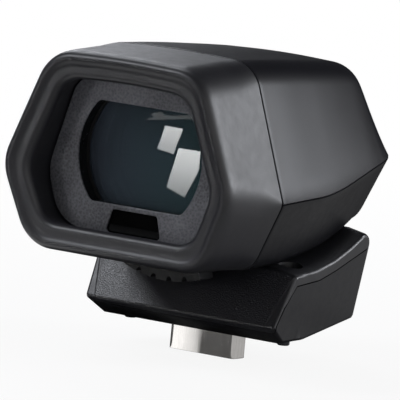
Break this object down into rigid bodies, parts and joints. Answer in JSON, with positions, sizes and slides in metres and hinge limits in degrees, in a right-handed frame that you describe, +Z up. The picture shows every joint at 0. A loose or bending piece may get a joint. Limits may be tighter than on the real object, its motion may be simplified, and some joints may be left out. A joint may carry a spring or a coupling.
{
  "type": "electronic viewfinder",
  "caption": "Tilting electronic viewfinder with a soft eyecup, a focus wheel and a base with a plug and two captive screws.",
  "frame": {"origin": "centre of the plug on the base's underside", "axes": "+Z up, out of the base's top; +Y along the optical axis, away from the user's eye; +X to the user's right"},
  "size_m": [0.064, 0.0798, 0.0711],
  "materials": {
    "soft_black_rubber": "satin",
    "dark_satin_plastic": "satin",
    "dark_plastic": "satin",
    "beaded_plastic": "matte",
    "matt_black_plastic": "matte",
    "coated_glass": "gloss",
    "dark_window": "gloss",
    "bright_steel": "satin",
    "black_steel": "satin",
    "grey_alloy": "satin",
    "bronze_washer": "satin",
    "gold_contact": "gloss",
    "circuit_board": "satin",
    "chip_black": "matte",
    "flexible_circuit": "satin",
    "screen_glass": "gloss"
  },
  "bodies": {
    "base": {"base_cover": "beaded_plastic", "base_shell": "dark_plastic", "hinge_bracket": "bright_steel", "hinge_shaft": "bright_steel", "friction_washer_left": "bronze_washer", "friction_washer_right": "bronze_washer", "shaft_nut_left": "black_steel", "shaft_nut_right": "black_steel", "bracket_screw_left": "black_steel", "bracket_screw_right": "black_steel", "base_screw_left": "black_steel", "base_screw_right": "black_steel", "connector_board": "circuit_board", "connector_shell": "bright_steel", "connector_tongue": "matt_black_plastic", "contact_row_front": "gold_contact", "contact_row_rear": "gold_contact", "connector_gasket": "soft_black_rubber", "base_flex": "flexible_circuit"},
    "viewfinder": {"board_connector": "chip_black", "board_screw_left": "black_steel", "board_screw_right": "black_steel", "chassis": "grey_alloy", "display_flex": "flexible_circuit", "display_heatsink": "grey_alloy", "display_holder": "matt_black_plastic", "display_panel": "screen_glass", "eye_lens": "coated_glass", "eyecup": "soft_black_rubber", "eyepiece_frame": "matt_black_plastic", "eyepiece_plate": "beaded_plastic", "field_lens": "coated_glass", "hinge_knuckle": "dark_satin_plastic", "housing_screw_1": "black_steel", "housing_screw_2": "black_steel", "housing_screw_3": "black_steel", "housing_screw_4": "black_steel", "knuckle_screw_left": "black_steel", "knuckle_screw_right": "black_steel", "light_hood": "matt_black_plastic", "lower_cover": "dark_plastic", "main_board": "circuit_board", "main_chip": "chip_black", "proximity_sensor": "chip_black", "sensor_board": "circuit_board", "sensor_window": "dark_window", "signal_flex": "flexible_circuit", "upper_cover": "dark_satin_plastic", "window_gasket": "soft_black_rubber"},
    "focus_ring": {"diopter_ring": "dark_plastic"},
    "lens_group": {"lens_carrier": "matt_black_plastic", "front_element": "coated_glass", "rear_element": "coated_glass", "lens_spacer": "matt_black_plastic", "lens_lock_ring": "matt_black_plastic", "cam_pin": "bright_steel"},
    "clip_left": {"screw_clip_left": "bright_steel"},
    "clip_right": {"screw_clip_right": "bright_steel"},
    "screw_left": {"captive_screw_left": "black_steel"},
    "screw_right": {"captive_screw_right": "black_steel"}
  },
  "joints": [
    {"name": "viewfinder_tilt", "type": "hinge", "parent": "base", "child": "viewfinder", "pos_m": [0, 0.02375, 0.0214], "axis": [-1, 0, 0], "range_deg": [0, 70]},
    {"name": "diopter_turn", "type": "hinge", "parent": "viewfinder", "child": "focus_ring", "pos_m": [0, -0.0174, 0.0406], "axis": [0, 1, 0], "range_deg": [-28, 28]},
    {"name": "lens_group_slide", "type": "slide", "parent": "viewfinder", "child": "lens_group", "axis": [0, 1, 0], "range_m": [-0.0016, 0.0016]},
    {"name": "clip_left_float", "type": "slide", "parent": "base", "child": "clip_left", "axis": [0, 0, 1], "range_m": [-0.0025, 0]},
    {"name": "clip_right_float", "type": "slide", "parent": "base", "child": "clip_right", "axis": [0, 0, 1], "range_m": [-0.0025, 0]},
    {"name": "screw_left_turn", "type": "hinge", "parent": "clip_left", "child": "screw_left", "pos_m": [-0.0213, -0.00095, 0], "axis": [0, 0, 1], "continuous": true},
    {"name": "screw_right_turn", "type": "hinge", "parent": "clip_right", "child": "screw_right", "pos_m": [0.0213, -0.00095, 0], "axis": [0, 0, 1], "continuous": true}
  ],
  "couplings": [
    {"joint": "lens_group_slide", "follows": "diopter_turn", "m_per_rad": 0.00327}
  ]
}
